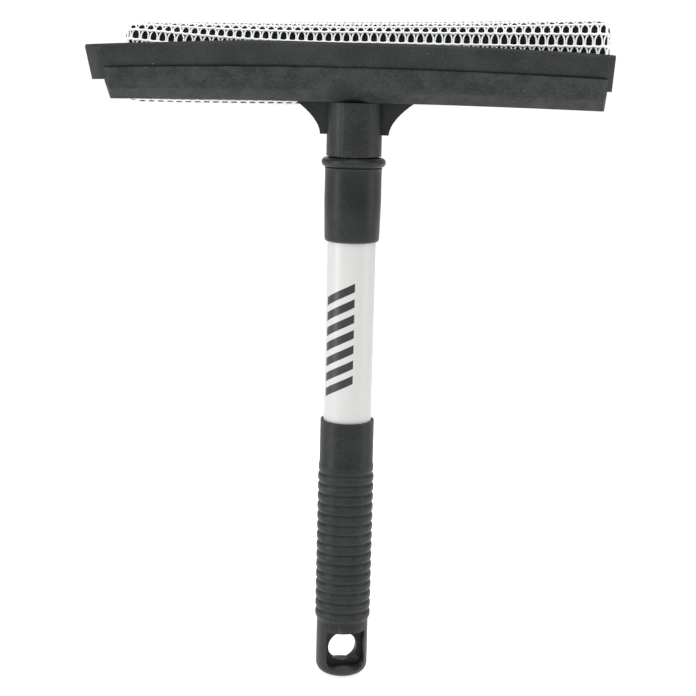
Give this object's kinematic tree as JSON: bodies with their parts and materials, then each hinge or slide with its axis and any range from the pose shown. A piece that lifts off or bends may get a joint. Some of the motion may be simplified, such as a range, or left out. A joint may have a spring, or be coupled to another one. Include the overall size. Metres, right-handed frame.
{
  "type": "window squeegee",
  "caption": "Hand-held window squeegee: leaning rubber blade in front, net-covered sponge behind, on a short telescopic handle with a ribbed grip and a hang hole.",
  "frame": {"origin": "on the handle's axis at the middle of the ribbed grip, where the hand closes", "axes": "+Z along the handle towards the head, +X along the blade, -Y the way the blade faces, +Y the way the sponge faces"},
  "size_m": [0.2252, 0.0633, 0.3015],
  "materials": {
    "grip_plastic": "moulded polypropylene, fine matt",
    "black_plastic": "moulded polypropylene, satin",
    "white_plastic": "moulded acetal",
    "tube_coat": "light grey satin coat on steel",
    "bare_steel": "drawn steel tube",
    "zinc_steel": "zinc-plated steel",
    "blade_rubber": "smooth moulded rubber",
    "foam": "open-cell foam",
    "net_thread": "knitted white plastic thread"
  },
  "bodies": {
    "handle": {"hand_grip": "grip_plastic", "outer_tube": "tube_coat", "outer_collar": "black_plastic", "guide_bush": "white_plastic"},
    "lock": {"lock_sleeve": "white_plastic"},
    "cone": {"lock_cone": "black_plastic"},
    "head": {"inner_tube": "bare_steel", "lock_plug": "black_plastic", "lock_spindle": "zinc_steel", "spindle_clip": "zinc_steel", "head_body": "black_plastic", "socket_screw": "zinc_steel", "blade_clamp": "black_plastic", "rubber_blade": "blade_rubber", "sponge_plate": "black_plastic", "pad_screw_1": "zinc_steel", "pad_screw_2": "zinc_steel", "pad_screw_3": "zinc_steel", "sponge_core": "foam", "net_sleeve": "net_thread", "net_seam_left": "net_thread", "net_seam_right": "net_thread"}
  },
  "joints": [
    {"name": "handle_extension", "type": "slide", "parent": "handle", "child": "lock", "axis": [0, 0, 1], "range_m": [0, 0.135]},
    {"name": "twist_lock", "type": "hinge", "parent": "lock", "child": "head", "pos_m": [0, 0, 0], "axis": [0, 0, 1], "range_deg": [0, 270]},
    {"name": "cone_draw", "type": "slide", "parent": "lock", "child": "cone", "axis": [0, 0, 1], "range_m": [-0.0024, 0]}
  ],
  "couplings": [
    {"joint": "cone_draw", "follows": "twist_lock", "m_per_rad": -0.00047746}
  ]
}
